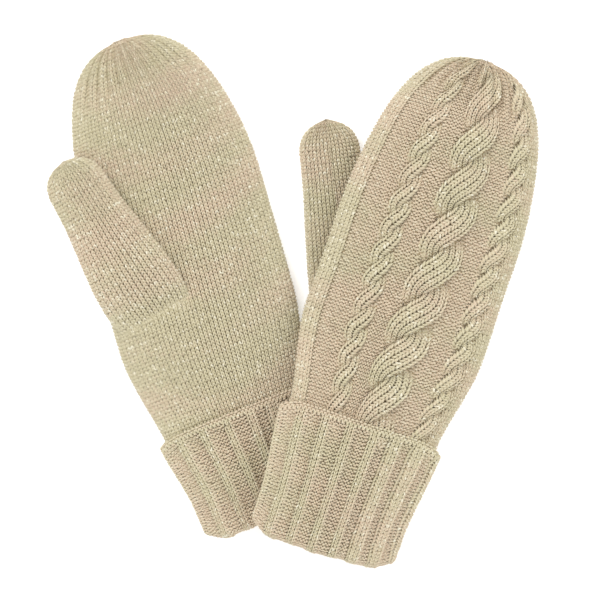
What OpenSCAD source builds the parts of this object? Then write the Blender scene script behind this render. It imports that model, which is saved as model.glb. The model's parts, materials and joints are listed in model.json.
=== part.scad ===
// A pair of knitted mittens with turned-up ribbed cuffs, laid out flat.
// The left mitten lies palm up. The right mitten lies back up, over the left cuff.
// Each mitten is drawn in its own frame: s across, t from the cuff's fold to the finger tip, z up.

/* [Hand] */
// Left mitten, from the fold of its cuff to the finger tip
left_length = 244.5; // [232:0.5:252]
// Right mitten, from the fold of its cuff to the finger tip
right_length = 251.5; // [240:0.5:260]
// Width across the palm
hand_width = 90.5; // [86:0.5:94]
// Width inside the top of the cuff
wrist_width = 75; // [73:0.5:75]
// Height of the hand as it lies flat
hand_height = 12.2; // [11.6:0.1:12.8]
// Sideways sway of the left hand against its cuff
left_sway = 14.5; // [12:0.5:18]

/* [Fabric] */
// Thickness of the hand and thumb fabric
fabric = 2.8; // [2.2:0.1:3]
// Thickness of one layer of the ribbed cuff
rib_layer = 2.6; // [2.2:0.1:2.8]
// Depth of the troughs between the ribs
rib_depth = 1; // [0.4:0.1:1.2]
// Number of ribs round the cuff
rib_count = 14; // [12:2:18]

/* [Cuff] */
// Height of the left turned-up cuff
left_cuff_height = 55.5; // [50:0.5:60]
// Height of the right turned-up cuff
right_cuff_height = 66; // [60:0.5:70]
// Width of the cuff near its fold
cuff_fold_width = 73; // [71:0.5:75]
// Width of the cuff at its cast-on edge
cuff_top_width = 82; // [82:0.5:83]
// Height of the hollow inside the flattened cuff
cuff_hollow = 5; // [4.6:0.1:5.4]

/* [Thumb] */
// Height of a thumb as it lies flat
thumb_height = 10.6; // [9.6:0.1:10.8]
// Radius of the thumb hole in the palm
thumb_hole_radius = 12.5; // [11:0.5:13]
// Width of the seam round the thumb hole
thumb_seam_width = 2; // [1.4:0.2:2.4]

/* [Lay] */
// Turn of the left mitten, counter-clockwise from +Y
left_turn = 22; // [20:0.5:23]
// Turn of the right mitten, clockwise from +Y
right_turn = 19; // [18:0.5:21]
// Rise of the right cuff where it crosses the left one
cross_rise = 16.6; // [16.4:0.1:18]

/* [Hidden] */

LEFT = 0;
RIGHT = 1;
// Place of each cuff's fold on the floor
left_place = [-7.6, -105.5];
right_place = [13.3, -121.7];
// Thumb of each mitten: hinge place (s, t), lean from the hand's axis, length, base and tip radius
left_thumb_place = [-20.5, 124.5];
right_thumb_place = [-28.5, 121.3];
left_thumb_lean = 9;
right_thumb_lean = 26;
left_thumb_length = 60;
right_thumb_length = 70.5;
left_thumb_base = 20.4;
right_thumb_base = 18;
thumb_tip_radius = 14.6;

$fn = 48;
// Roundness of a section through the hand, and of its outline
section_power = 3;
outline_power = 2.5;
tip_height_power = 5;
// Gaps between the cuff's layers and under the thumb, and how far the undersides settle into the floor
layer_gap = 0.3;
running_gap = 0.4;
floor_bite = 0.25;
// Half the section angle that a side seam takes up
seam_angle = 6;
side_steps = 16;
length_steps = 18;
steps_per_rib = 4;
round_steps = steps_per_rib * rib_count;
// How far the hand reaches down inside the cuff
wrist_overlap = 6;
// Lengths above the cuff over which the hand widens, thickens and comes down to the floor
widen_length = 46;
thicken_length = 20;
settle_length = 25;
// Where the rounded finger end begins, and where the gathered tip begins inside it, as parts of a length
left_round_start = 0.565;
right_round_start = 0.595;
gather_start = 0.972;
// The cuff: height of its rounded fold, lift of the fold's corners, height of the cast-on edge,
// and the station from which it widens
fold_height = 3.5;
corner_lift = 4.5;
corner_length = 24;
cast_on_height = 3.4;
flare_start = 18;
cuff_half_height = cuff_hollow / 2 + 2 * rib_layer + layer_gap;
// The left hand sways from this station over this length; the right one lies a little to its thumb side
sway_start = 48;
sway_length = 180;
right_sway = -1;
// The right mitten's rise: it comes down to clear its own thumb, and then to the floor, and fades across
thumb_clearance = 1.1;
rise_drop_length = 46;
rise_end_start = 204;
rise_end_length = 44;
rise_side_start = -7;
rise_side_length = 41;
// The thumb lies on the palm of the left mitten, and on the floor under the right one
palm_top = hand_height - floor_bite;
thumb_gather_depth = 3;
// Clearance above and below the thumb's seam inside the palm
seam_clearance = 0.4;

function smooth(x) = let (c = min(max(x, 0), 1)) c * c * (3 - 2 * c);
function signed_pow(v, p) = sign(v) * pow(abs(v), p);
function mitten_length(m) = m == LEFT ? left_length : right_length;
function cuff_height(m) = m == LEFT ? left_cuff_height : right_cuff_height;
function wrist_start(m) = cuff_height(m) - wrist_overlap;
function bend_station(m) = (m == LEFT ? left_round_start : right_round_start) * mitten_length(m);

// How far a station lies into the rounded finger end, 0 to 1
function tip_part(m, t) = let (r = bend_station(m)) max((t - r) / (mitten_length(m) - r), 0);
function round_off(x, p) = pow(max(1 - pow(min(x, 1), p), 0), 1 / outline_power);

// Centre line and half sizes of the hand at a station
function sway(m, t) = m == LEFT ? left_sway * smooth((t - sway_start) / sway_length) : right_sway;
function hand_half_width(m, t) =
    (wrist_width + (hand_width - wrist_width) * smooth((t - cuff_height(m)) / widen_length) ^ 0.7) / 2
    * round_off(tip_part(m, t), outline_power);
function hand_half_height(m, t) =
    let (low = cuff_hollow / 2 + rib_layer)
    (low + (hand_height / 2 - low) * smooth((t - cuff_height(m)) / thicken_length))
    * round_off(tip_part(m, t), tip_height_power);

// Half width of the turned-up cuff, a little wider at the cast-on edge
function cuff_half_width(m, t) =
    let (x = (t - flare_start) / (cuff_height(m) - flare_start))
    (cuff_fold_width + (cuff_top_width - cuff_fold_width) * smooth(x)) / 2;

// Height of the middle plane, and the rise of the right mitten over the left cuff and its own thumb
function middle(m, t) =
    let (k = smooth((t - cuff_height(m)) / settle_length))
    cuff_half_height * (1 - k) + hand_half_height(m, t) * k - floor_bite;
function rise(m, s, t) = m == LEFT ? 0 :
    (cross_rise - (cross_rise - thumb_height - thumb_clearance)
        * smooth((t - cuff_height(m)) / rise_drop_length))
    * (1 - smooth((t - rise_end_start) / rise_end_length))
    * (1 - smooth((s - rise_side_start) / rise_side_length));

// A point of a section: th is the angle round it, and a and b are its half sizes there
function section_point(m, t, th, a, b) =
    let (s = sway(m, t) + a * signed_pow(cos(th), 2 / section_power),
         z = middle(m, t) + b * signed_pow(sin(th), 2 / section_power) + rise(m, s, t))
    [s, t, max(z, 0)];
function hand_point(m, t, th, depth) =
    let (a = hand_half_width(m, t), b = hand_half_height(m, t))
    section_point(m, t, th, a - min(depth, 0.6 * a), b - min(depth, 0.6 * b));
// The fold lifts a little at its two corners
function cuff_point(m, t, th, depth) =
    let (u = t + corner_lift * pow(abs(cos(th)), 6) * (1 - smooth(t / corner_length)))
    section_point(m, u, th, cuff_half_width(m, u) - depth, cuff_half_height - depth);

// Stations along the hand: one at the wrist inside the cuff, one at the cuff's top,
// and closer ones at the tip
function hand_station(m, k) =
    let (half = length_steps / 2, first = cuff_height(m), bend = bend_station(m))
    k == 0 ? wrist_start(m)
    : k < half ? first + (bend - first) * (k - 1) / (half - 1)
    : bend + (mitten_length(m) - bend) * gather_start * sin(90 * (k - half) / half);

// Side faces of a grid of rings, each a closed loop of n points
function loop_faces(rings, n, closed) = [
    for (i = [0 : rings - (closed ? 1 : 2)], j = [0 : n - 1])
        let (k = (i + 1) % rings, l = (j + 1) % n)
        each [[i * n + j, i * n + l, k * n + l], [i * n + j, k * n + l, k * n + j]]
];
// An end cap for a loop of an outer row and an inner row, as a strip
function strip_cap(first, n, flip) = [
    for (j = [0 : n / 2 - 2])
        let (a = first + j, b = first + j + 1, c = first + n - 2 - j, d = first + n - 1 - j)
        each flip ? [[a, b, c], [a, c, d]] : [[a, c, b], [a, d, c]]
];
function flat_cap(first, n, flip) = [[for (j = [0 : n - 1]) first + (flip ? n - 1 - j : j)]];
function flatten(list) = [for (row = list) each row];

module place(m) {
    at = m == LEFT ? left_place : right_place;
    translate([at[0], at[1], 0])
        rotate(m == LEFT ? left_turn : -right_turn)
            children();
}

// A strip of the hand's fabric between two angles
module hand_strip(m, from, to, steps) {
    rings = [
        for (i = [0 : steps])
            let (th = from + (to - from) * i / steps)
            concat(
                [for (k = [0 : length_steps]) hand_point(m, hand_station(m, k), th, 0)],
                [for (k = [length_steps : -1 : 0]) hand_point(m, hand_station(m, k), th, fabric)]
            )
    ];
    n = 2 * (length_steps + 1);
    place(m)
        polyhedron(flatten(rings), concat(
            loop_faces(steps + 1, n, false), strip_cap(0, n, false), strip_cap(steps * n, n, true)));
}

// A closed ring round the cuff: its profile is a loop of [depth, t] points, and ribs mark the outside
module cuff_ring(m, profile, ribs) {
    rings = [
        for (i = [0 : round_steps - 1])
            let (th = 360 * i / round_steps, trough = i % steps_per_rib < 2 ? 0 : ribs)
            [for (p = profile) cuff_point(m, p[1], th, p[0] + (p[0] < rib_layer / 2 ? trough : 0))]
    ];
    place(m)
        polyhedron(flatten(rings), loop_faces(round_steps, len(profile), true));
}

module panel(m, upper) {
    color(upper ? "tan" : "burlywood")
        hand_strip(
            m,
            upper ? seam_angle : 180 + seam_angle,
            upper ? 180 - seam_angle : 360 - seam_angle,
            side_steps
        );
}
module side_seam(m, thumb_side) {
    color("darkkhaki")
        hand_strip(
            m,
            thumb_side ? 180 - seam_angle : -seam_angle,
            thumb_side ? 180 + seam_angle : seam_angle,
            2
        );
}

// The closed end of the finger, drawn together by the yarn of the last course
module tip_gather(m) {
    bend = bend_station(m);
    steps = 5;
    n = 4 * side_steps;
    rings = [
        for (k = [0 : steps])
            let (x = gather_start + (0.9995 - gather_start) * sin(90 * k / steps))
            [for (j = [0 : n - 1]) hand_point(m, bend + (mitten_length(m) - bend) * x, 360 * j / n, 0)]
    ];
    color("khaki") place(m)
        polyhedron(flatten(rings), concat(
            loop_faces(steps + 1, n, false), flat_cap(0, n, true), flat_cap(steps * n, n, false)));
}

module wrist_rib(m) {
    outside = rib_layer + layer_gap;
    inside = outside + rib_layer;
    top = wrist_start(m);
    mid = cuff_height(m) / 2;
    color("darkkhaki")
        cuff_ring(m, [
            [outside, top], [outside, mid], [outside, fold_height],
            [inside, fold_height], [inside, mid], [inside, top]
        ], 0);
}
module turned_cuff(m) {
    inside = 2 * rib_layer + layer_gap;
    top = cuff_height(m) - cast_on_height;
    mid = cuff_height(m) / 2;
    color("wheat")
        cuff_ring(m, [
            [0, top], [0, mid], [0, fold_height], [rib_layer * 0.4, 0.9], [inside / 2, 0],
            [inside - rib_layer * 0.4, 0.9], [inside, fold_height], [rib_layer, fold_height],
            [rib_layer, mid], [rib_layer, top]
        ], rib_depth);
}
module cast_on_edge(m) {
    low = cuff_height(m) - cast_on_height;
    top = cuff_height(m);
    color("cornsilk")
        cuff_ring(
            m,
            [[0, low], [rib_layer, low], [rib_layer, top - 0.8], [rib_layer / 2, top], [0, top - 0.8]],
            0
        );
}

function thumb_place(m) = m == LEFT ? left_thumb_place : right_thumb_place;
function thumb_lean(m) = m == LEFT ? left_thumb_lean : right_thumb_lean;
function thumb_length(m) = m == LEFT ? left_thumb_length : right_thumb_length;
function thumb_base(m) = m == LEFT ? left_thumb_base : right_thumb_base;
function thumb_low(m) = m == LEFT ? palm_top + running_gap : 0;

// Half width of a thumb at u along its axis: round at both ends
function thumb_half_width(m, u) =
    let (l = thumb_length(m), r = thumb_base(m), k = thumb_tip_radius)
    u < 0 ? sqrt(max(r * r - u * u, 0))
    : u > l ? sqrt(max(k * k - (u - l) ^ 2, 0))
    : r + (k - r) * smooth(u / l);
// Half height: it swells out of the palm and closes round the tip
function thumb_half_height(m, u) =
    let (l = thumb_length(m), r = thumb_base(m), k = thumb_tip_radius)
    thumb_height / 2 * (0.45 + 0.55 * smooth((u + r) / (r + 16)))
    * pow(max(1 - max((u - l) / k, 0) ^ 2, 0), 0.3) * pow(max(1 - max(-u / r, 0) ^ 4, 0), 0.4);

// The thumb's form from one station to another, drawn in by a depth
module thumb_form(m, from, to, depth) {
    steps = 14;
    n = 24;
    rings = [
        for (k = [0 : steps])
            let (u = from + (to - from) * (1 - cos(180 * k / steps)) / 2,
                 a = max(thumb_half_width(m, u) - depth, 0.5),
                 b = thumb_half_height(m, u),
                 h = max(b - depth, 0.4))
            [for (j = [0 : n - 1]) [
                a * signed_pow(cos(360 * j / n), 0.8), u,
                thumb_low(m) + b + h * signed_pow(sin(360 * j / n), 0.8)
            ]]
    ];
    polyhedron(flatten(rings), concat(
        loop_faces(steps + 1, n, false), flat_cap(0, n, true), flat_cap(steps * n, n, false)));
}
module at_thumb(m) {
    place(m)
        translate([thumb_place(m)[0], thumb_place(m)[1], 0])
            rotate(thumb_lean(m))
                children();
}

module thumb(m) {
    tip = thumb_length(m) + thumb_tip_radius;
    back = -thumb_base(m);
    hole_low = m == LEFT ? palm_top - 1 : thumb_height / 2;
    color("tan") at_thumb(m)
        difference() {
            thumb_form(m, back * 0.995, tip - thumb_gather_depth, 0);
            thumb_form(m, back + fabric, tip - fabric, fabric);
            translate([0, 0, hole_low])
                cylinder(r = thumb_hole_radius, h = thumb_height / 2 + 1);
        }
}
module thumb_gather(m) {
    tip = thumb_length(m) + thumb_tip_radius;
    color("khaki") at_thumb(m)
        thumb_form(m, tip - thumb_gather_depth, tip - 0.05, 0);
}
// The ring of stitches that joins the thumb to the palm, inside the palm's thumb hole
module thumb_seam(m) {
    low = m == LEFT ? palm_top - fabric : thumb_height + running_gap + seam_clearance;
    color("darkkhaki") at_thumb(m)
        difference() {
            translate([0, 0, low])
                cylinder(r = thumb_hole_radius + thumb_seam_width, h = fabric - seam_clearance);
            translate([0, 0, low - 1])
                cylinder(r = thumb_hole_radius, h = fabric + 2);
        }
}
module thumb_hole(m) {
    at_thumb(m)
        translate([0, 0, m == LEFT ? hand_height / 2 : thumb_height])
            cylinder(r = thumb_hole_radius + thumb_seam_width, h = hand_height / 2);
}
module palm(m) {
    difference() {
        panel(m, m == LEFT);
        thumb_hole(m);
    }
}

panel(LEFT, false);  // left_back_panel
palm(LEFT);  // left_palm_panel
side_seam(LEFT, false);  // left_outer_seam
side_seam(LEFT, true);  // left_thumb_side_seam
tip_gather(LEFT);  // left_tip_gather
wrist_rib(LEFT);  // left_wrist_rib
turned_cuff(LEFT);  // left_turned_cuff
cast_on_edge(LEFT);  // left_cast_on_edge
thumb_seam(LEFT);  // left_thumb_seam
thumb(LEFT);  // left_thumb
thumb_gather(LEFT);  // left_thumb_gather
panel(RIGHT, true);  // right_back_panel
palm(RIGHT);  // right_palm_panel
side_seam(RIGHT, false);  // right_outer_seam
side_seam(RIGHT, true);  // right_thumb_side_seam
tip_gather(RIGHT);  // right_tip_gather
wrist_rib(RIGHT);  // right_wrist_rib
turned_cuff(RIGHT);  // right_turned_cuff
cast_on_edge(RIGHT);  // right_cast_on_edge
thumb_seam(RIGHT);  // right_thumb_seam
thumb(RIGHT);  // right_thumb
thumb_gather(RIGHT);  // right_thumb_gather
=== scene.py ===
"""The looks of a pair of knitted mittens: every stitch is a real loop of yarn, laid over the CAD pieces.

Lengths in this file are millimetres in each mitten's own frame (s across, t from the cuff's fold to the
finger tip, z up) until Piece.build() turns them into metres in the shared frame.
"""
import json
import math

import bpy
import numpy as np
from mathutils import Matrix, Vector


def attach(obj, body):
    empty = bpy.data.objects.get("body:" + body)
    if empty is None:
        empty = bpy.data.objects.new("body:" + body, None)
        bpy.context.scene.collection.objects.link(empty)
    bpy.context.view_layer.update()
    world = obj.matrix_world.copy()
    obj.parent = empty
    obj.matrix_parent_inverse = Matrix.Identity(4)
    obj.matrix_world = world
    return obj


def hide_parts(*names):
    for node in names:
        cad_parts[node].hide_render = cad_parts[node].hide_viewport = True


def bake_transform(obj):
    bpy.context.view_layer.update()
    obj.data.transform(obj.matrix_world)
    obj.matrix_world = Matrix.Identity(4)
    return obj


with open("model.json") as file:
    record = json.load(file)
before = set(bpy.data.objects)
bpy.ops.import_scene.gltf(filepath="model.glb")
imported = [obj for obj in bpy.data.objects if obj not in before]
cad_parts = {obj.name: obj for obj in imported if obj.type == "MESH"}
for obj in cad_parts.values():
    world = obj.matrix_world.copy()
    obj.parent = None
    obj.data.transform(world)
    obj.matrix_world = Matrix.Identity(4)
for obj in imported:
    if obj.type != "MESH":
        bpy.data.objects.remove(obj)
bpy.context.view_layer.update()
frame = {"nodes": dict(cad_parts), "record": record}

MM = 0.001
rng = np.random.default_rng(7)

# ---------------------------------------------------------------- sizes that the CAD design shares
SECTION_POWER = 3
OUTLINE_POWER = 2.5
ROUND_START = {"left": 0.565, "right": 0.595}   # where the rounded finger end starts, as a part of the length
HAND_HEIGHT = 12.2
HAND_WIDTH = 90.5
WRIST_WIDTH = 75
CUFF_FOLD_WIDTH = 73
CUFF_TOP_WIDTH = 82
RIB_LAYER = 2.6
CUFF_HOLLOW = 5
CUFF_HALF_HEIGHT = CUFF_HOLLOW / 2 + 2 * RIB_LAYER + 0.3
WRIST_OVERLAP = 6
FLOOR_BITE = 0.25
CROSS_RISE = 16.6
THUMB_HEIGHT = 10.6
THUMB_TIP_RADIUS = 14.6
THUMB_CLEARANCE = 1.1
THUMB_LEAN = {"left": 9, "right": 26}           # degrees
THUMB_LENGTH = {"left": 60, "right": 70.5}      # from the thumb hole to where its round tip starts
THUMB_BASE_RADIUS = {"left": 20.4, "right": 18}
CORNER_LIFT = 4.5
LEFT_SWAY = 14.5
SWAY_START, SWAY_LENGTH = 48, 180
RIGHT_SWAY = -1.0
WIDEN_LENGTH = 46
THICKEN_LENGTH = 20
SETTLE_LENGTH = 25
FLARE_START = 18
TIP_HEIGHT_POWER = 5
ROUND_END = 0.9995           # the round ends stop just short of a point
RISE_DROP_LENGTH = 46        # the right mitten rises over the left cuff and comes down to the floor
RISE_END_START, RISE_END_LENGTH = 204, 44
RISE_SIDE_START, RISE_SIDE_LENGTH = -7, 41

# ---------------------------------------------------------------- the knit
ROW = 1.75                   # height of one row of stitches
STITCH = 2.15                # width of one stitch
YARN = 0.56                  # half the width of the yarn
RIBS = 14
RIB_STITCHES = 3
PROUD = 0.5                  # how far the yarn stands out of the CAD surface's line
FUZZ = 2400                  # stray fibres on one of the three parts of a shown face
FIBRE = 0.045                # radius of a stray fibre
BACKING_LIFT = -0.65         # the backing behind the stitches, coloured dark as painted shade in the gaps between them, lies this far under the surface
HAND_BACKING_DEPTH = -2.6    # lifts of the backing's inner sides
RIB_BACKING_DEPTH = -1.9
THUMB_BACKING_DEPTH = -2.2
RIB_TROUGH = 2.0             # depth between two ribs
CUFF_DIP = {"left": 3.6, "right": 5.0}          # how far the cuff's top corners sag
TIP_PLEAT = 1.3              # depth, pitch and length of the pleats at the finger end
TIP_PLEAT_PITCH = 8.0
TIP_PLEAT_LENGTH = 30
SPLIT = (0.45, 0.7)          # a face is made in three pieces that meet at these parts of the length


def smooth(x):
    c = np.clip(x, 0, 1)
    return c * c * (3 - 2 * c)


def signed_pow(v, p):
    return np.sign(v) * np.abs(v) ** p


class Mitten:
    """One mitten's frame and form. The left lies palm up; the right lies back up over the left cuff."""

    def __init__(self, side):
        self.side = side
        self.left = side == "left"
        record = frame["record"]
        mount = next(m for m in record["mounts"] if m["name"] == side + "_wrist_opening")
        self.place = np.array(mount["pos_m"][:2]) / MM
        out = np.array(mount["axis"][:2])
        self.along = -out / np.linalg.norm(out)
        self.across = np.array([self.along[1], -self.along[0]])
        self.length = self.reach(side + "_tip_gather")
        self.cuff = self.reach(side + "_cast_on_edge")
        self.wrist = self.cuff - WRIST_OVERLAP
        joint = next(j for j in record["behaviour"]["joints"] if j["name"] == side + "_thumb_swing")
        hinge = np.array(joint["pos_m"][:2]) / MM - self.place
        self.thumb_at = np.array([hinge @ self.across, hinge @ self.along])
        self.thumb_lean = math.radians(THUMB_LEAN[side])
        self.thumb_length = THUMB_LENGTH[side]
        self.thumb_base = THUMB_BASE_RADIUS[side]
        self.quarter, self.arc_table, self.angle_table = self.section_table()

    def reach(self, node):
        """The furthest station of a CAD node along the mitten."""
        mesh = frame["nodes"][node].data
        co = np.empty(len(mesh.vertices) * 3)
        mesh.vertices.foreach_get("co", co)
        return float(((co.reshape(-1, 3)[:, :2] / MM - self.place) @ self.along).max())

    def section_table(self):
        """Arc length round the widest section, from the top's middle to its edge, against the angle."""
        th = np.linspace(90, 0, 400)
        s = HAND_WIDTH / 2 * signed_pow(np.cos(np.radians(th)), 2 / SECTION_POWER)
        z = HAND_HEIGHT / 2 * signed_pow(np.sin(np.radians(th)), 2 / SECTION_POWER)
        arc = np.concatenate([[0], np.cumsum(np.hypot(np.diff(s), np.diff(z)))])
        return arc[-1], arc, th

    def angle(self, x, upper):
        """The section angle at x, measured round the section from the middle of a face."""
        th = np.interp(np.abs(x), self.arc_table, self.angle_table)
        over = np.abs(x) > self.quarter
        th = np.where(over, -np.interp(2 * self.quarter - np.abs(x), self.arc_table, self.angle_table), th)
        th = np.where(x < 0, 180 - th, th)
        return th if upper else -th

    def tip_part(self, t):
        r = ROUND_START[self.side] * self.length
        return np.maximum((t - r) / (self.length - r), 0)

    def round_end(self, t, power):
        """1 along the hand, falling to 0 round the finger end."""
        return np.maximum(1 - np.minimum(self.tip_part(t), ROUND_END) ** power, 0) ** (1 / OUTLINE_POWER)

    def sway(self, t):
        return LEFT_SWAY * smooth((t - SWAY_START) / SWAY_LENGTH) if self.left else RIGHT_SWAY

    def hand_half_width(self, t):
        grown = smooth((t - self.cuff) / WIDEN_LENGTH) ** 0.7
        end = self.round_end(t, OUTLINE_POWER)
        return (WRIST_WIDTH + (HAND_WIDTH - WRIST_WIDTH) * grown) / 2 * end

    def hand_half_height(self, t):
        low = CUFF_HOLLOW / 2 + RIB_LAYER
        end = self.round_end(t, TIP_HEIGHT_POWER)
        return (low + (HAND_HEIGHT / 2 - low) * smooth((t - self.cuff) / THICKEN_LENGTH)) * end

    def cuff_half_width(self, t):
        flare = smooth((t - FLARE_START) / (self.cuff - FLARE_START))
        return (CUFF_FOLD_WIDTH + (CUFF_TOP_WIDTH - CUFF_FOLD_WIDTH) * flare) / 2

    def middle(self, t):
        k = smooth((t - self.cuff) / SETTLE_LENGTH)
        return CUFF_HALF_HEIGHT * (1 - k) + self.hand_half_height(t) * k - FLOOR_BITE

    def rise(self, s, t):
        if self.left:
            return 0.0
        drop = CROSS_RISE - THUMB_HEIGHT - THUMB_CLEARANCE
        top = CROSS_RISE - drop * smooth((t - self.cuff) / RISE_DROP_LENGTH)
        end = 1 - smooth((t - RISE_END_START) / RISE_END_LENGTH)
        return top * end * (1 - smooth((s - RISE_SIDE_START) / RISE_SIDE_LENGTH))

    def face_height(self, s, t):
        """Height of the upper face at a place."""
        part = np.clip(np.abs(s - self.sway(t)) / np.maximum(self.hand_half_width(t), 1), 0, 1)
        up = self.hand_half_height(t) * (1 - part ** SECTION_POWER) ** (1 / SECTION_POWER)
        return self.middle(t) + up + self.rise(s, t)

    def section(self, t, th, a, b):
        c, n = np.cos(np.radians(th)), np.sin(np.radians(th))
        s = self.sway(t) + a * signed_pow(c, 2 / SECTION_POWER)
        z = self.middle(t) + b * signed_pow(n, 2 / SECTION_POWER) + self.rise(s, t)
        return np.stack([s + 0 * t, t + 0 * s, np.maximum(z, 0)], -1)

    def world(self, p):
        """Points of this mitten in metres, in the shared frame."""
        xy = self.place + p[..., :1] * self.across + p[..., 1:2] * self.along
        return np.concatenate([xy, p[..., 2:3]], -1) * MM


# ---------------------------------------------------------------- surfaces: (x, t, lift) to a point
def hand_surface(m, upper):
    """The outside of a hand face. x runs round the section, lift stands off the fabric."""
    def surface(x, t, lift):
        a, b = m.hand_half_width(t), m.hand_half_height(t)
        th = m.angle(x, upper)
        near_tip = smooth((t - (m.length - TIP_PLEAT_LENGTH)) / 14)
        pleat = TIP_PLEAT * near_tip * (np.cos(x * 2 * math.pi / TIP_PLEAT_PITCH) - 0.5)
        sag = 0.35 * np.sin(x * 0.11 + t * 0.043) * np.sin(t * 0.067 - x * 0.05)
        up = lift - PROUD + (pleat + sag) * np.clip(b / 6, 0, 1)
        return m.section(t, th, np.maximum(a + up, 0.6), np.maximum(b + up, 0.5))
    return surface


def rib_wave(x, pitch):
    """1 on the crest of a rib and 0 in the trough."""
    return smooth(0.5 + 0.95 * np.cos(x / pitch * 2 * math.pi))


FOLD_RADIUS = (2 * RIB_LAYER + 0.3) / 2


def cuff_surface(m):
    """The cuff's fabric, from its cast-on edge (v = 0), down, round the fold and up inside."""
    girth = 4 * m.quarter
    straight = m.cuff - FOLD_RADIUS
    turn = math.pi * FOLD_RADIUS

    def surface(x, v, lift):
        past = np.clip(v - straight, 0, turn)
        inner = np.maximum(v - straight - turn, 0)
        swing = past / FOLD_RADIUS
        t = m.cuff - np.minimum(v, straight) - FOLD_RADIUS * np.sin(swing) + inner
        depth = FOLD_RADIUS * (1 - np.cos(swing))
        crest = rib_wave(x, girth / RIBS)
        edge = smooth((v - 2.5) / 5)
        fold = 1 - 0.55 * smooth((v - straight + 9) / 9) * (1 - smooth((v - straight - turn) / 9))
        inside = smooth((v - straight) / turn)
        trough = RIB_TROUGH * (1 - crest) * edge * fold
        wobble = 0.25 * np.sin(x * 0.21 + v * 0.05)
        up = lift - (PROUD + trough) * (1 - 0.85 * inside) + wobble
        t = t - up * np.sin(swing)
        depth = depth - up * np.cos(swing)
        xx = np.mod(x, girth)
        face = np.where(xx < girth / 2, xx - girth / 4, girth * 3 / 4 - xx)
        th = np.where(xx < girth / 2, m.angle(-face, True), m.angle(-face, False))
        out = np.abs(np.cos(np.radians(th))) ** 6
        dip = CUFF_DIP[m.side] * out * (1 - smooth(v / 34))
        tt = t + CORNER_LIFT * out * (1 - smooth(t / 24)) - dip
        return m.section(tt, th, m.cuff_half_width(tt) - depth, CUFF_HALF_HEIGHT - depth)
    return surface


def thumb_surface(m):
    """The thumb: x runs round its section from the middle of its outer face, t along it to its tip."""
    length, base, tip = m.thumb_length, m.thumb_base, THUMB_TIP_RADIUS
    quarter, arc, angles = thumb_section(m)
    c, n = math.cos(m.thumb_lean), math.sin(m.thumb_lean)

    def surface(x, u, lift):
        ahead = np.clip((u - length) / tip, 0, ROUND_END)
        behind = np.clip(-u / (base + 7), 0, 1)
        a = base + (tip - base) * smooth(u / length)
        a = a * np.sqrt(1 - ahead ** 2) * np.sqrt(1 - 0.8 * behind ** 2)
        high = THUMB_HEIGHT * smooth((u + base + 4) / (base + 20)) ** 1.3
        b = high / 2 * np.maximum(1 - ahead ** 2, 0) ** 0.3
        ang = 90 - np.sign(x) * np.where(
            np.abs(x) < quarter, 90 - np.interp(np.abs(x), arc, angles),
            90 + np.interp(2 * quarter - np.abs(x), arc, angles))
        co, si = np.cos(np.radians(ang)), np.sin(np.radians(ang))
        pleat = 0.35 * smooth((u - length - 2) / 8) * np.cos(x * 2 * math.pi / 4.6)
        up = lift - PROUD + pleat
        q = np.maximum(a + up, 0.4) * signed_pow(co, 0.8)
        s = m.thumb_at[0] + q * c - u * n
        t = m.thumb_at[1] + q * n + u * c
        over = np.minimum(b, THUMB_HEIGHT / 2) + np.maximum(b + up, 0.3) * signed_pow(si, 0.8)
        free = smooth((u + 20) / 34)
        if m.left:
            lay = m.face_height(s, t) * (1 - free) + (HAND_HEIGHT - FLOOR_BITE + 0.5) * free
            z = lay + over - 1.6 * (1 - smooth((u + 14) / 12))
        else:
            z = THUMB_HEIGHT + 0.6 * free - over
        return np.stack([s + 0 * z, t + 0 * z, np.maximum(z, 0.05)], -1)
    return surface


def thumb_section(m):
    """A quarter of the thumb's girth, with a table of arc length against the angle."""
    th = np.linspace(90, 0, 200)
    width = (m.thumb_base + THUMB_TIP_RADIUS) / 2
    q = width * np.cos(np.radians(th)) ** 0.8
    z = THUMB_HEIGHT / 2 * np.sin(np.radians(th)) ** 0.8
    arc = np.concatenate([[0], np.cumsum(np.hypot(np.diff(q), np.diff(z)))])
    return arc[-1], arc, th


# ---------------------------------------------------------------- stitches
def tube(points, radii, sides):
    """A closed tube round a short path of (u, v, z): each corner's path point, two offsets and v."""
    rings = []
    for (u, v, z), r in zip(points, radii):
        for k in range(sides):
            a = 2 * math.pi * k / sides
            rings.append((u, v, z, math.cos(a) * r, math.sin(a) * r, v))
    faces = []
    n = len(points)
    for i in range(n - 1):
        for k in range(sides):
            a, b = i * sides + k, i * sides + (k + 1) % sides
            faces.append((a, b, b + sides))
            faces.append((a, b + sides, a + sides))
    for k in range(1, sides - 1):
        faces.append((0, k + 1, k))
        last = (n - 1) * sides
        faces.append((last, last + k, last + k + 1))
    return np.array(rings), np.array(faces)


def join(parts):
    """Several tubes as one template."""
    verts, faces, first = [], [], 0
    for v, f in parts:
        verts.append(v)
        faces.append(f + first)
        first += len(v)
    return np.concatenate(verts), np.concatenate(faces)


def knit_template(coarse=False):
    """The two legs of a knit stitch: a V that the next row's V stands in."""
    legs = []
    for side in (-1, 1):
        if coarse:
            path = [(0.12, -0.28, -0.8), (0.30, 0.5, 0.5), (0.47, 1.28, -0.6)]
            radii = [0.33, 0.48, 0.32]
        else:
            path = [(0.13, -0.30, -1.0), (0.20, 0.12, 0.2), (0.36, 0.70, 0.45), (0.48, 1.25, -0.5)]
            radii = [0.38, 0.48, 0.48, 0.37]
        legs.append(tube([(side * u, v, z) for u, v, z in path], radii, 4 if coarse else 5))
    return join(legs)


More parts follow.
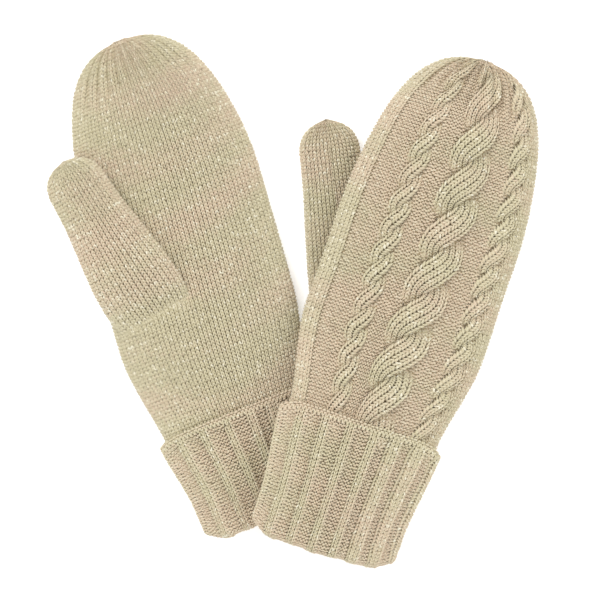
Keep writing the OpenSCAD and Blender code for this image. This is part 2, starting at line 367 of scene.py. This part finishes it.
def purl_template(coarse=False):
    """A purl stitch: the arch of its loop's head, and the dip of the yarn that runs on to the next column."""
    arcs = []
    for middle, v, bow in ((0.0, 0.55, 0.1), (0.5, 0.05, -0.1)):
        path = [(middle - 0.42, v - bow, -0.3), (middle - 0.17, v + bow, 0.4),
                (middle + 0.17, v + bow, 0.4), (middle + 0.42, v - bow, -0.3)]
        radii = [0.42, 0.56, 0.56, 0.42]
        if coarse:
            path, radii = [path[0], (middle, v + bow, 0.45), path[3]], [0.3, 0.5, 0.3]
        arcs.append(tube(path, radii, 4 if coarse else 5))
    verts, faces = join(arcs)
    swapped = verts.copy()
    swapped[:, 3] = 0
    swapped[:, 5] = verts[:, 0]
    # An arc lies across the column, so its tube's side offset points along the column
    return np.concatenate([swapped, verts[:, 3:4]], 1), faces


KNIT, PURL = 0, 1


def full_template(kind, coarse):
    verts, faces = (knit_template if kind == KNIT else purl_template)(coarse)
    if kind == KNIT:
        verts = np.concatenate([verts, np.zeros((len(verts), 1))], 1)
    return verts, faces


class Piece:
    """A mesh that grows by stitches and shells and ends as one Blender object."""

    def __init__(self, name, m):
        self.name, self.m = name, m
        self.verts, self.faces, self.tone, self.twist, self.slots = [], [], [], [], []
        self.count = 0

    def add(self, verts, faces, tone, twist, material):
        self.verts.append(verts)
        self.faces.append(faces + self.count)
        self.tone.append(tone)
        self.twist.append(twist)
        self.slots.append(np.full(len(faces), material))
        self.count += len(verts)

    def stitches(self, surface, x, t, width, kind, coarse=False, row=ROW, path=None, hug=1.0):
        """Stitches at columns x and rows t. path bends them along a cable: it maps (q, t) to (x, t, lift)."""
        if len(x) == 0:
            return
        template, faces = full_template(kind, coarse)
        n, k = len(x), len(template)
        u, v, z = template[:, 0], template[:, 1], template[:, 2]
        du, dz, along, dv = template[:, 3], template[:, 4], template[:, 5], template[:, 6]
        size = 1 + 0.06 * rng.standard_normal((n, 1))
        lean = 0.05 * rng.standard_normal((n, 1))
        drop = 0.07 * rng.standard_normal((n, 1))
        w = np.asarray(width).reshape(-1, 1) * np.ones((n, 1))
        r = np.minimum(w / STITCH, 1.25)
        xx = (u + lean * v) * w + du * YARN / 0.54 * size * r
        tt = (v + drop) * row + dv * YARN / 0.54 * size
        zz = z * hug + dz * YARN / 0.54 * size * 1.04 + 0.05 * rng.standard_normal((n, 1))
        if path is None:
            p = surface(x[:, None] + xx, t[:, None] + tt, zz)
        else:
            px, pt, pz = path(x[:, None] + xx, t[:, None] + tt)
            p = surface(px, pt, pz + zz)
        # Painted shade: purl stitches lean to the pinker beige and knit ones a little the other way, for the
        # tint of shade in the purl valleys
        patch = self.patch(x, t) + (0.4 if kind == PURL else -0.1)
        shade = np.clip(patch + 0.1 * rng.standard_normal(n), 0, 1)
        # Painted glints: a few stitch legs, more of them in bands along the rows and fewer on purl, get the
        # pale glint colour of the lurex thread's sparkle
        glint = (rng.random((n, 2)) < 0.05 + 0.25 * (np.sin(t * 0.9 + 3 * np.sin(x * 0.02)) > 0.85)[:, None])
        spark = np.where(u[None, :] < 0, glint[:, :1], glint[:, 1:]) * (1.0 if kind == KNIT else 0.4)
        # Painted shade: each stitch darkens where its yarn sinks under the surface, purl stitches more than
        # knit ones
        painted_shade = np.clip((0.25 - z - dz) / 0.9, 0, 1) * (0.22 if kind == KNIT else 0.3)
        tone = np.stack([np.repeat(shade[:, None], k, 1), spark, np.repeat(painted_shade[None, :], n, 0)], -1)
        twist = np.stack([
            np.repeat(rng.random((n, 1)), k, 1) * 9 + along * 1.6,
            np.repeat(np.arctan2(dz, du + dv)[None, :], n, 0) / (2 * math.pi), 0 * zz], -1)
        all_faces = (faces[None] + (np.arange(n) * k)[:, None, None]).reshape(-1, 3)
        if flipped(self.m, surface, x, t, path):
            all_faces = all_faces[:, ::-1]
        self.add(self.m.world(p).reshape(-1, 3), all_faces, tone.reshape(-1, 3), twist.reshape(-1, 3), 0)

    def fuzz(self, surface, x, t, count):
        """Stray fibres: thin curved hairs that lie over the stitches."""
        pick = rng.integers(0, len(x), count)
        x, t = x[pick] + rng.uniform(-1, 1, count), t[pick] + rng.uniform(-1, 1, count)
        way = rng.uniform(0, 2 * math.pi, count)
        bend = rng.uniform(-0.9, 0.9, count)
        long = rng.uniform(1.0, 2.6, count)
        top = rng.uniform(0.5, 1.15, count)
        rings = []
        for part, up in ((0.0, 0.3), (0.5, 1.0), (1.0, 0.85)):
            a = way + bend * part
            px, pt = x + np.cos(a) * long * part, t + np.sin(a) * long * part
            for k in range(3):
                turn = 2 * math.pi * k / 3
                side = FIBRE * math.cos(turn)
                rings.append(surface(px - np.sin(a) * side, pt + np.cos(a) * side,
                                     top * up + FIBRE * math.sin(turn)))
        verts = np.stack(rings, 1)
        faces = np.array([(r + k, r + (k + 1) % 3, r + 3 + (k + 1) % 3) for r in (0, 3) for k in range(3)]
                         + [(r + k, r + 3 + (k + 1) % 3, r + 3 + k) for r in (0, 3) for k in range(3)]
                         + [(0, 2, 1), (6, 7, 8)])
        faces = (faces[None] + (np.arange(count) * 9)[:, None, None]).reshape(-1, 3)
        if flipped(self.m, surface, x, t, None):
            faces = faces[:, ::-1]
        tone = np.zeros((count * 9, 3))
        tone[:, 0] = np.repeat(np.clip(self.patch(x, t), 0, 1), 9)
        self.add(self.m.world(verts).reshape(-1, 3), faces, tone, np.zeros((count * 9, 3)), 0)

    def patch(self, x, t):
        """Slow changes of the yarn's colour, longer along the rows than across them."""
        side = 0.0 if self.m.left else 40.0
        return 0.5 + 0.5 * (
            0.5 * np.sin(x * 0.045 + side + 2.1 * np.sin(t * 0.06 + side))
            + 0.45 * np.sin(t * 0.21 + 1.7 * np.sin(x * 0.05 + 1.3 + side))
            + 0.35 * np.sin(t * 0.043 + side * 2 - x * 0.012))

    def shell(self, surface, xs, ts, outer, inner, closed=False, material=1):
        """The backing: a closed skin between two lifts over a grid of columns and rows. Its default material
        is dark, painted shade for the gaps between the stitches.
        """
        nx, nt = len(xs), len(ts)
        gx, gt = np.meshgrid(xs, ts, indexing="ij")
        top = surface(gx, gt, np.full_like(gx, outer)).reshape(-1, 3)
        low = surface(gx, gt, np.full_like(gx, inner)).reshape(-1, 3)
        verts = np.concatenate([top, low])
        half = nx * nt
        quads = []
        cols = nx if closed else nx - 1
        i, j = np.meshgrid(np.arange(cols), np.arange(nt - 1), indexing="ij")
        a, b = i * nt + j, ((i + 1) % nx) * nt + j
        quads.append(np.stack([a, b, b + 1, a + 1], -1).reshape(-1, 4))
        quads.append((np.stack([a, a + 1, b + 1, b], -1) + half).reshape(-1, 4))
        k = np.arange(cols)
        for j, flip in ((0, False), (nt - 1, True)):
            a, b = k * nt + j, ((k + 1) % nx) * nt + j
            rim = np.stack([a, a + half, b + half, b], -1)
            quads.append(rim[:, ::-1] if flip else rim)
        if not closed:
            j = np.arange(nt - 1)
            for i, flip in ((0, True), (nx - 1, False)):
                a, b = i * nt + j, i * nt + j + 1
                rim = np.stack([a, a + half, b + half, b], -1)
                quads.append(rim[:, ::-1] if flip else rim)
        quads = np.concatenate(quads)
        faces = np.concatenate([quads[:, [0, 1, 2]], quads[:, [0, 2, 3]]])
        if flipped(self.m, surface, np.array([float(xs[nx // 2])]), np.array([float(ts[nt // 3])]), None):
            faces = faces[:, ::-1]
        tone = np.zeros((len(verts), 3))
        tone[:, 0] = 0.5
        self.add(self.m.world(verts), faces, tone, np.zeros((len(verts), 3)), material)

    def build(self, materials, node, body, slot, blend=None):
        verts = np.concatenate(self.verts).astype(np.float32)
        faces = np.concatenate(self.faces).astype(np.int32)
        mesh = bpy.data.meshes.new(self.name)
        mesh.vertices.add(len(verts))
        mesh.vertices.foreach_set("co", verts.ravel())
        mesh.loops.add(len(faces) * 3)
        mesh.loops.foreach_set("vertex_index", faces.ravel())
        mesh.polygons.add(len(faces))
        mesh.polygons.foreach_set("loop_start", np.arange(0, len(faces) * 3, 3, dtype=np.int32))
        mesh.polygons.foreach_set("use_smooth", np.ones(len(faces), bool))
        for material in materials:
            mesh.materials.append(material)
        mesh.polygons.foreach_set("material_index", np.concatenate(self.slots).astype(np.int32))
        for name, rows in (("tone", self.tone), ("twist", self.twist)):
            layer = mesh.attributes.new(name, "FLOAT_VECTOR", "POINT")
            layer.data.foreach_set("vector", np.concatenate(rows).astype(np.float32).ravel())
        mesh.update(calc_edges=True)
        mesh.validate()
        obj = bpy.data.objects.new(self.name, mesh)
        bpy.context.scene.collection.objects.link(obj)
        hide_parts(*([node] if isinstance(node, str) else node))
        if blend:
            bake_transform(obj)
        else:
            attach(obj, body)
        print(self.name, len(faces))
        return obj


def flipped(m, surface, x, t, path):
    """True where x, t and lift make a left-handed frame, so that faces must be turned over."""
    h = 0.2
    x0, t0 = x[:1] if np.ndim(x) else np.array([x]), t[:1] if np.ndim(t) else np.array([t])
    if path is not None:
        x0, t0 = np.array([0.0]), np.array([m.length * 0.5])
    z0 = np.zeros(1)
    p = surface(x0, t0, z0)
    dx = surface(x0 + h, t0, z0) - p
    dt = surface(x0, t0 + h, z0) - p
    dz = surface(x0, t0, z0 + h) - p
    return float(np.sum(np.cross(dx, dt) * dz)) < 0


# ---------------------------------------------------------------- materials
def nodes_of(material):
    material.use_nodes = True
    tree = material.node_tree
    tree.nodes.clear()
    out = tree.nodes.new("ShaderNodeOutputMaterial")
    shader = tree.nodes.new("ShaderNodeBsdfPrincipled")
    tree.links.new(shader.outputs[0], out.inputs[0])
    return tree, shader


def mix_colour(tree, factor, a, b):
    node = tree.nodes.new("ShaderNodeMix")
    node.data_type = "RGBA"
    for socket, value in ((node.inputs[0], factor), (node.inputs[6], a), (node.inputs[7], b)):
        if isinstance(value, bpy.types.NodeSocket):
            tree.links.new(value, socket)
        else:
            socket.default_value = value if isinstance(value, float) else (*value, 1)
    return node.outputs[2]


def ramp(tree, value, low, high):
    node = tree.nodes.new("ShaderNodeMapRange")
    node.clamp = True
    tree.links.new(value, node.inputs[0])
    node.inputs[1].default_value = low
    node.inputs[2].default_value = high
    return node.outputs[0]


def noise(tree, vector, scale, detail=3.0):
    node = tree.nodes.new("ShaderNodeTexNoise")
    node.inputs["Scale"].default_value = scale
    node.inputs["Detail"].default_value = detail
    tree.links.new(vector, node.inputs["Vector"])
    return node.outputs["Fac"]


GREEN_BEIGE = (0.62, 0.56, 0.37)
PINK_BEIGE = (0.69, 0.545, 0.40)
PALE_YARN = (0.80, 0.735, 0.54)
# Partly painted highlight: the pale flecks of the lurex thread are real, their brightness stands in for its
# glints
GLINT = (0.90, 0.85, 0.68)
# Painted shade: the yarn's colour where it lies in shadow, used for the deep ends of stitches and for the
# backing
PAINTED_SHADE_YARN = (0.27, 0.215, 0.13)


def yarn_material(name, pink_shift=0.0):
    material = bpy.data.materials.new(name)
    tree, shader = nodes_of(material)
    tone = tree.nodes.new("ShaderNodeAttribute")
    tone.attribute_name = "tone"
    parts = tree.nodes.new("ShaderNodeSeparateXYZ")
    tree.links.new(tone.outputs["Vector"], parts.inputs[0])
    coords = tree.nodes.new("ShaderNodeTexCoord")
    twist = tree.nodes.new("ShaderNodeAttribute")
    twist.attribute_name = "twist"
    patch = ramp(tree, parts.outputs[0], 0.15 - pink_shift, 0.9 - pink_shift)
    colour = mix_colour(tree, patch, GREEN_BEIGE, PINK_BEIGE)
    fibre = noise(tree, coords.outputs["Object"], 1400.0, 4.0)
    colour = mix_colour(tree, ramp(tree, fibre, 0.42, 0.72), colour, PALE_YARN)
    # Painted glint: small noise specks on the marked legs take the pale glint colour
    speck = noise(tree, coords.outputs["Object"], 1100.0, 1.0)
    # Painted shade: the deep parts of each stitch are mixed towards the shaded yarn colour
    colour = mix_colour(tree, ramp(tree, parts.outputs[2], 0.0, 1.35), colour, PAINTED_SHADE_YARN)
    both = tree.nodes.new("ShaderNodeMath")
    both.operation = "MULTIPLY"
    tree.links.new(ramp(tree, speck, 0.45, 0.56), both.inputs[0])
    tree.links.new(parts.outputs[1], both.inputs[1])
    colour = mix_colour(tree, both.outputs[0], colour, GLINT)
    tree.links.new(colour, shader.inputs["Base Color"])
    wave = tree.nodes.new("ShaderNodeTexWave")
    wave.wave_type = "BANDS"
    wave.bands_direction = "DIAGONAL"
    wave.inputs["Scale"].default_value = 0.9
    wave.inputs["Distortion"].default_value = 1.2
    tree.links.new(twist.outputs["Vector"], wave.inputs["Vector"])
    bump = tree.nodes.new("ShaderNodeBump")
    bump.inputs["Strength"].default_value = 0.35
    bump.inputs["Distance"].default_value = 0.0003
    tree.links.new(wave.outputs["Fac"], bump.inputs["Height"])
    tree.links.new(bump.outputs[0], shader.inputs["Normal"])
    shader.inputs["Roughness"].default_value = 0.82
    shader.inputs["Specular IOR Level"].default_value = 0.25
    shader.inputs["Sheen Weight"].default_value = 0.35
    shader.inputs["Sheen Roughness"].default_value = 0.5
    shader.inputs["Sheen Tint"].default_value = (0.95, 0.9, 0.8, 1)
    return material


def backing_material():
    # The backing's colour is painted shade: the yarn as it looks deep between the stitches, with paler flecks
    material = bpy.data.materials.new("yarn_in_shadow")
    tree, shader = nodes_of(material)
    coords = tree.nodes.new("ShaderNodeTexCoord")
    fleck = noise(tree, coords.outputs["Object"], 900.0, 3.0)
    colour = mix_colour(tree, ramp(tree, fleck, 0.35, 0.75), PAINTED_SHADE_YARN, tuple(c * 2.1 for c in PAINTED_SHADE_YARN))
    tree.links.new(colour, shader.inputs["Base Color"])
    shader.inputs["Roughness"].default_value = 0.95
    shader.inputs["Specular IOR Level"].default_value = 0.1
    return material


# ---------------------------------------------------------------- camera, floor and light
FOCUS = Vector((0.0028, -0.0003, 0.01))
LENS, SENSOR = 120, 36
SHOWN = 0.2916               # metres across the picture at the focus


def make_camera():
    data = bpy.data.cameras.new("camera")
    data.lens = LENS
    data.sensor_width = SENSOR
    camera = bpy.data.objects.new("camera", data)
    camera.location = (FOCUS.x, FOCUS.y, FOCUS.z + SHOWN * LENS / SENSOR)
    camera.rotation_euler = (0, 0, 0)
    bpy.context.scene.collection.objects.link(camera)
    bpy.context.scene.camera = camera


def make_floor():
    mesh = bpy.data.meshes.new("floor")
    side = 4.0
    corners = [(-side, -side, 0), (side, -side, 0), (side, side, 0), (-side, side, 0)]
    mesh.from_pydata(corners, [], [(0, 1, 2, 3)])
    floor = bpy.data.objects.new("floor", mesh)
    material = bpy.data.materials.new("floor")
    _, shader = nodes_of(material)
    shader.inputs["Base Color"].default_value = (0.97, 0.97, 0.97, 1)
    shader.inputs["Roughness"].default_value = 0.9
    shader.inputs["Emission Color"].default_value = (1, 1, 1, 1)
    shader.inputs["Emission Strength"].default_value = 0.4
    mesh.materials.append(material)
    bpy.context.scene.collection.objects.link(floor)
    floor.location.z = -0.0002


def make_light(name, place, size, watts):
    data = bpy.data.lights.new(name, "AREA")
    data.shape = "SQUARE"
    data.size = size
    data.energy = watts
    light = bpy.data.objects.new(name, data)
    light.location = place
    light.rotation_euler = (Vector((0, 0, 0)) - Vector(place)).to_track_quat("-Z", "Y").to_euler()
    bpy.context.scene.collection.objects.link(light)


def make_world():
    world = bpy.data.worlds.new("world")
    world.use_nodes = True
    background = world.node_tree.nodes["Background"]
    background.inputs[0].default_value = (1, 1, 1, 1)
    background.inputs[1].default_value = 0.8
    bpy.context.scene.world = world
    bpy.context.scene.view_settings.view_transform = "Standard"


# ---------------------------------------------------------------- columns of the cabled back
PATTERN = [            # (kind, stitches, stitch width) from the thumb side to the outer side
    ("purl", 7, 2.0), ("cable", 4, 2.8), ("purl", 5, 1.85),
    ("cable", 8, 2.8), ("purl", 5, 1.85), ("cable", 4, 2.8),
]
PATTERN_START = -37.6
EDGE_STITCHES = 4
CABLE_PITCH = {8: 22.3, 4: 13.0}        # from one crossing to the next, by the cable's stitches
CABLE_RISE = {8: 2.6, 4: 1.6}           # how high the upper strand stands at a crossing
PULL = {8: 3.2, 4: 1.7}                 # how far a crossing draws in the fabric beside it
CABLE_ROW = 1.45             # a cable's rows are closer, since its slant draws them out


def rows_between(first, last, row=ROW):
    return np.arange(first, last, row)


def grid(columns, rows):
    x, t = np.meshgrid(columns, rows, indexing="ij")
    return x.ravel(), t.ravel()


def drift(m, x, t):
    """Near the wrist the middle cable leans towards the thumb side."""
    if m.left:
        return x
    return x - 5.0 * smooth((150 - t) / 70) * smooth(1 - np.abs(x - 7) / 24)


def cabled_face(m, pieces, surface, first, last, coarse, split):
    """Fills a hand face with the cable pattern. x runs from the thumb side (negative) to the outer side."""
    rows = rows_between(first, last)
    cables, x = [], PATTERN_START
    for kind, count, width in PATTERN:
        if kind == "cable":
            cables.append((x + count * width / 2, count, width))
        x += count * width
    spans = [("knit", EDGE_STITCHES, (PATTERN_START + m.quarter - 1.3) / EDGE_STITCHES), *PATTERN,
             ("knit", EDGE_STITCHES, (m.quarter - 1.3 - x) / EDGE_STITCHES)]
    x = 1.3 - m.quarter

    def beside(depth):
        def path(q, t):
            return drift(m, pulled(cables, q, t), t), t, depth + 0 * q
        return path

    for kind, count, width in spans:
        centre = x + count * width / 2
        if kind == "cable":
            cable(m, pieces, surface, centre, count, width, rows, coarse, split)
            columns = under_edges(centre, count, width)
            gx, gt = grid(columns, rows)
            put(pieces, surface, gx, gt, width, PURL, True, split, beside(-0.8))
        else:
            columns = x + (np.arange(count) + 0.5) * width
            gx, gt = grid(columns, rows)
            put(pieces, surface, gx, gt, width, PURL if kind == "purl" else KNIT, coarse, split,
                beside(-0.45 if kind == "purl" else 0.0))
        x += count * width


def under_edges(centre, count, width):
    """Purl columns that run on under both edges of a cable and show in the gaps at its crossings."""
    inner = 2 if count > 4 else 1
    steps = (np.arange(inner) + 0.5) * width
    return np.concatenate([centre - count * width / 2 + steps, centre + count * width / 2 - steps])


def pulled(cables, x, t):
    """The fabric beside a cable is drawn in at each crossing."""
    moved = x + 0.0
    for centre, count, width in cables:
        edge = count * width / 2
        crossing = np.sin(math.pi * t / CABLE_PITCH[count]) ** 4
        gap = np.abs(x - centre) - edge
        near = np.clip(1 - gap / (3.2 * PULL[count]), 0, 1)
        moved = moved - np.sign(x - centre) * PULL[count] * crossing * near ** 2 * (gap > -1.5)
    return moved


def put(pieces, surface, x, t, width, kind, coarse, split, path=None, row=ROW):
    """Shares stitches between the pieces by their station."""
    for index, piece in enumerate(pieces):
        low = -1e9 if index == 0 else split[index - 1]
        high = 1e9 if index == len(pieces) - 1 else split[index]
        mine = (t >= low) & (t < high)
        piece.stitches(surface, x[mine], t[mine], width, kind, coarse, row, path)


def cable(m, pieces, surface, centre, count, width, rows, coarse, split):
    """Two strands of stitches that cross over each other, always the same way."""
    pitch, rise = CABLE_PITCH[count], CABLE_RISE[count]
    strand = count // 2
    reach = strand * width / 2
    for which in (0, 1):
        for k in range(strand):
            offset = (k - (strand - 1) / 2) * width

            def path(q, t):
                phase = math.pi * t / pitch + which * math.pi
                turn = np.sin(phase)
                slant = np.arctan(reach * math.pi / pitch * turn)
                aside = (q - centre) * (1 + 0.15 * np.abs(turn))
                x = centre - reach * np.cos(phase) + aside * np.cos(slant)
                crown = -1.2 * (np.abs(q - centre) / reach) ** 2.5
                lift = rise * turn + crown * (0.5 + 0.5 * np.abs(turn)) + 0.6
                return drift(m, x, t), t - aside * np.sin(slant), lift

            t = np.arange(rows[0], rows[-1], CABLE_ROW)
            t = t[np.sin(math.pi * t / pitch + which * math.pi) > -0.8]
            x = np.full(len(t), centre + offset)
            put(pieces, surface, x, t, width, KNIT, coarse, split, path, CABLE_ROW)


# ---------------------------------------------------------------- the parts of a mitten
def plain_face(m, pieces, surface, first, last, coarse, split):
    half = m.quarter - 0.6
    count = int(round(2 * half / STITCH))
    width = 2 * half / count
    columns = -half + (np.arange(count) + 0.5) * width
    gx, gt = grid(columns, rows_between(first, last))
    put(pieces, surface, gx, gt, width, KNIT, coarse, split)


def hand(m, materials):
    body = m.side + "_mitten"
    first, last = m.wrist, m.length - 1.2
    for face, upper in (("palm", m.left), ("back", not m.left)):
        surface = hand_surface(m, upper)
        shown = upper
        names = [f"{m.side}_{face}_knit_{part}" for part in ("wrist", "middle", "fingers")]
        pieces = [Piece(name, m) for name in names]
        split = [m.length * part for part in SPLIT]
        filler = plain_face if face == "palm" else cabled_face
        filler(m, pieces, surface, first, last, not shown, split)
        xs = np.linspace(-m.quarter + 0.3, m.quarter - 0.3, 60)
        ts = np.linspace(first, m.length - 1, 90)
        pieces[0].shell(surface, xs, ts, BACKING_LIFT, HAND_BACKING_DEPTH)
        edges = [first, *split, last]
        for index, piece in enumerate(pieces):
            rows = np.linspace(edges[index], edges[index + 1], 60)
            gx, gt = grid(np.linspace(-m.quarter, m.quarter, 40), rows)
            piece.fuzz(surface, gx, gt, FUZZ if shown else FUZZ // 4)
        for piece in pieces:
            piece.build(materials, f"{m.side}_{face}_panel", body, "knit")


def side_seams(m, materials):
    """Each side seam is a column of tight stitches down the edge of the hand."""
    for name, sign in ((m.side + "_outer_seam", 1), (m.side + "_thumb_side_seam", -1)):
        piece = Piece(name + "_yarn", m)
        surface = hand_surface(m, True)
        for offset in (-0.9, 0.9):
            rows = rows_between(m.wrist, m.length - 1.5)
            x = np.full(len(rows), sign * m.quarter + offset)
            piece.stitches(surface, x, rows, 1.7, KNIT, True)
        piece.build(materials, name, m.side + "_mitten", "seam_yarn")


def tip_gather(m, materials):
    """The yarn that draws the last row together, as small loops round the closed tip."""
    piece = Piece(m.side + "_tip_gather_yarn", m)
    for upper in (True, False):
        surface = hand_surface(m, upper)
        columns = np.linspace(-m.quarter + 2, m.quarter - 2, 18)
        for back in (1.6, 0.5):
            t = np.full(len(columns), m.length - back)
            piece.stitches(surface, columns, t, 5.0, PURL, False, 1.0)
    piece.build(materials, m.side + "_tip_gather", m.side + "_mitten", "seam_yarn")


def cuff(m, materials):
    surface = cuff_surface(m)
    girth = 4 * m.quarter
    body = m.side + "_mitten"
    straight = m.cuff - FOLD_RADIUS
    total = straight + math.pi * FOLD_RADIUS
    pitch = girth / RIBS
    count = RIBS * 2 * RIB_STITCHES
    width = girth / count
    columns = (np.arange(count) + 0.5) * width
    crest = np.cos(columns / pitch * 2 * math.pi) > 0
    outer = Piece(m.side + "_turned_cuff_knit_upper", m)
    lower = Piece(m.side + "_turned_cuff_knit_lower", m)
    inner = Piece(m.side + "_wrist_rib_knit", m)
    edge = Piece(m.side + "_cast_on_edge_knit", m)
    outer_rows = rows_between(3.2, total, ROW)
    inner_rows = rows_between(total, total + m.wrist - 3, ROW * 1.3)
    for kind, chosen in ((KNIT, columns[crest]), (PURL, columns[~crest])):
        for piece, half in ((outer, chosen < girth / 2), (lower, chosen >= girth / 2)):
            gx, gt = grid(chosen[half], outer_rows)
            piece.stitches(surface, gx, gt, width, kind)
        gx, gt = grid(chosen, inner_rows)
        inner.stitches(surface, gx, gt, width, PURL if kind == KNIT else KNIT, True, ROW * 1.3)
    xs = np.arange(0, 4 * count) * width / 4
    down, fold = np.linspace(3, straight, 12), np.linspace(straight + 0.5, total, 10)
    up = np.linspace(total, total + m.wrist - 3, 14)
    outer.shell(surface, xs, np.concatenate([down, fold]), BACKING_LIFT, RIB_BACKING_DEPTH, closed=True)
    inner.shell(surface, xs, up, BACKING_LIFT, RIB_BACKING_DEPTH, closed=True)
    for v, kind in ((0.3, PURL), (1.5, KNIT)):
        gx, gt = grid(columns, np.array([v]))
        edge.stitches(surface, gx, gt, width * 1.08, kind)
    edge.shell(surface, xs, np.linspace(0.2, 3.2, 4), -0.5, -1.5, closed=True, material=0)
    gx, gt = grid(columns, outer_rows)
    outer.fuzz(surface, gx, gt, FUZZ)
    outer.build(materials, m.side + "_turned_cuff", body, "rib_knit")
    lower.build(materials, m.side + "_turned_cuff", body, "rib_knit")
    inner.build(materials, m.side + "_wrist_rib", body, "rib_knit")
    edge.build(materials, m.side + "_cast_on_edge", body, "rib_knit")


def thumb(m, materials):
    """The thumb: its knit lies on the hand's face near the root and rises free towards the tip; it stays in
    the shared frame, unparented, while its seam goes with the mitten and its gather with the thumb.
    """
    quarter = thumb_section(m)[0]
    surface = thumb_surface(m)
    girth = 4 * quarter
    count = int(round(girth / STITCH))
    width = girth / count
    columns = -girth / 2 + (np.arange(count) + 0.5) * width
    end = m.thumb_length + THUMB_TIP_RADIUS
    back = -m.thumb_base - 5
    knit = Piece(m.side + "_thumb_knit", m)
    gx, gt = grid(columns, rows_between(back, end - 1.2))
    keep = (np.abs(gx) < quarter * 1.05) | (gt > -20)
    coarse = np.abs(gx) > quarter * 1.2
    knit.stitches(surface, gx[keep & ~coarse], gt[keep & ~coarse], width, KNIT)
    knit.stitches(surface, gx[keep & coarse], gt[keep & coarse], width, KNIT, True)
    xs = np.arange(0, 48) * girth / 48 - girth / 2
    ts = np.linspace(back + 1, end - 0.8, 50)
    knit.shell(surface, xs, ts, BACKING_LIFT, THUMB_BACKING_DEPTH, closed=True)
    gx, gt = grid(np.linspace(-quarter, quarter, 30), np.linspace(0, end - 2, 40))
    knit.fuzz(surface, gx, gt, FUZZ // 2)
    seam = Piece(m.side + "_thumb_seam_yarn", m)
    gather = Piece(m.side + "_thumb_gather_yarn", m)
    ring = np.linspace(-quarter, quarter, 16)
    seam.stitches(surface, ring, np.full(len(ring), back + 1.0), 3.0, PURL, True, 1.2)
    for gap in (1.3, 0.4):
        around = np.linspace(-2 * quarter, 2 * quarter, 20, endpoint=False)
        gather.stitches(surface, around, np.full(len(around), end - gap), 3.4, PURL, False, 0.8)
    n = np.array([-math.sin(m.thumb_lean), math.cos(m.thumb_lean)])
    start = m.world(np.array([*(m.thumb_at - 10 * n), 6.0]))
    stop = m.world(np.array([*(m.thumb_at + 22 * n), 6.0]))
    blend = (m.side + "_mitten", m.side + "_thumb", tuple(start), tuple(stop))
    knit.build(materials, m.side + "_thumb", None, "knit", blend)
    seam.build(materials, m.side + "_thumb_seam", m.side + "_mitten", "seam_yarn")
    gather.build(materials, m.side + "_thumb_gather", m.side + "_thumb", "seam_yarn")


make_camera()
make_floor()
make_world()
make_light("key", (-1.5, 1.8, 2.6), 1.8, 50)
make_light("fill", (1.6, -0.6, 1.9), 1.6, 14)
yarn = [yarn_material("knit_yarn"), backing_material()]
for side in ("left", "right"):
    mitten = Mitten(side)
    hand(mitten, yarn)
    side_seams(mitten, yarn)
    tip_gather(mitten, yarn)
    cuff(mitten, yarn)
    thumb(mitten, yarn)
